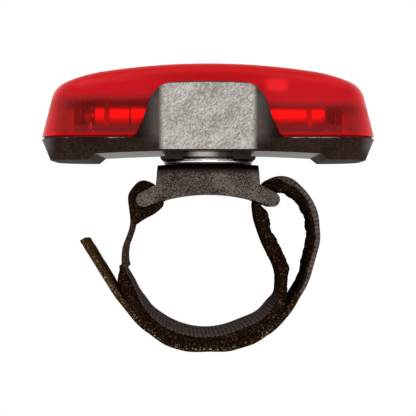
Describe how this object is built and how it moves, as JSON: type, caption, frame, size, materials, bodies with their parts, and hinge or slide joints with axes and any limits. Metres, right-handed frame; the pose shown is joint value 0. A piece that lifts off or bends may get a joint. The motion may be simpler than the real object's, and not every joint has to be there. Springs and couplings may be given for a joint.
{
  "type": "helmet rear light",
  "caption": "Battery rear light with a translucent domed lens, on a turntable clip and saddle that a hook-and-loop strap holds.",
  "frame": {"origin": "middle of the saddle's concave seat, where the light rests on what it is strapped to", "axes": "+X along the light, +Z out of the lens, +Y to the long side with the power button"},
  "size_m": [0.0638, 0.0293, 0.0551],
  "materials": {
    "body_plastic": "fine spark-eroded texture",
    "mount_plastic": "fine texture, glossy disc",
    "lens_red": "translucent red, polished",
    "seal_rubber": "soft",
    "button_rubber": "satin",
    "tape_fabric": "woven and looped tape",
    "steel": "zinc plated",
    "spring_plate": "nickel plated",
    "cell_jacket": "printed film over steel, silver",
    "tray_plastic": "smooth",
    "laminate": "green solder mask",
    "led_plastic": "moulded, red emitting",
    "reflector_plastic": "white",
    "component_black": "moulded",
    "wire_plus": "insulation",
    "wire_minus": "insulation"
  },
  "bodies": {
    "bracket": {"saddle": "mount_plastic", "strap_anchor_tape": "tape_fabric", "strap_loop_tape": "tape_fabric", "strap_hook_tape": "tape_fabric"},
    "turntable_body": {"turntable": "mount_plastic", "pivot_washer": "steel", "pivot_screw": "steel"},
    "light": {"rear_housing": "body_plastic", "mount_shoe": "mount_plastic", "shoe_screws": "steel"},
    "lens_module": {"lens": "lens_red", "cover_seals": "seal_rubber", "battery_tray": "tray_plastic", "tray_screws": "steel", "battery_near": "cell_jacket", "battery_far": "cell_jacket", "plus_contact": "spring_plate", "minus_contact": "spring_plate", "bridge_contact": "spring_plate", "circuit_board": "laminate", "leds": "led_plastic", "led_reflector": "reflector_plastic", "board_screws": "steel", "control_chip": "component_black", "resistors": "component_black", "push_switch": "component_black", "lead_wire_plus": "wire_plus", "lead_wire_minus": "wire_minus"},
    "button": {"power_button": "button_rubber"}
  },
  "joints": [
    {"name": "turn", "type": "hinge", "parent": "bracket", "child": "turntable_body", "pos_m": [0, 0, 0.0062], "axis": [0, 0, 1], "continuous": true},
    {"name": "clip_slide", "type": "slide", "parent": "turntable_body", "child": "light", "axis": [0, -1, 0], "range_m": [0, 0.024]},
    {"name": "lens_lift", "type": "slide", "parent": "light", "child": "lens_module", "axis": [0, 0, 1], "range_m": [0, 0.03]},
    {"name": "button_press", "type": "slide", "parent": "light", "child": "button", "axis": [0, -1, 0], "range_m": [0, 0.0004], "stiffness_N_per_m": 4000}
  ]
}
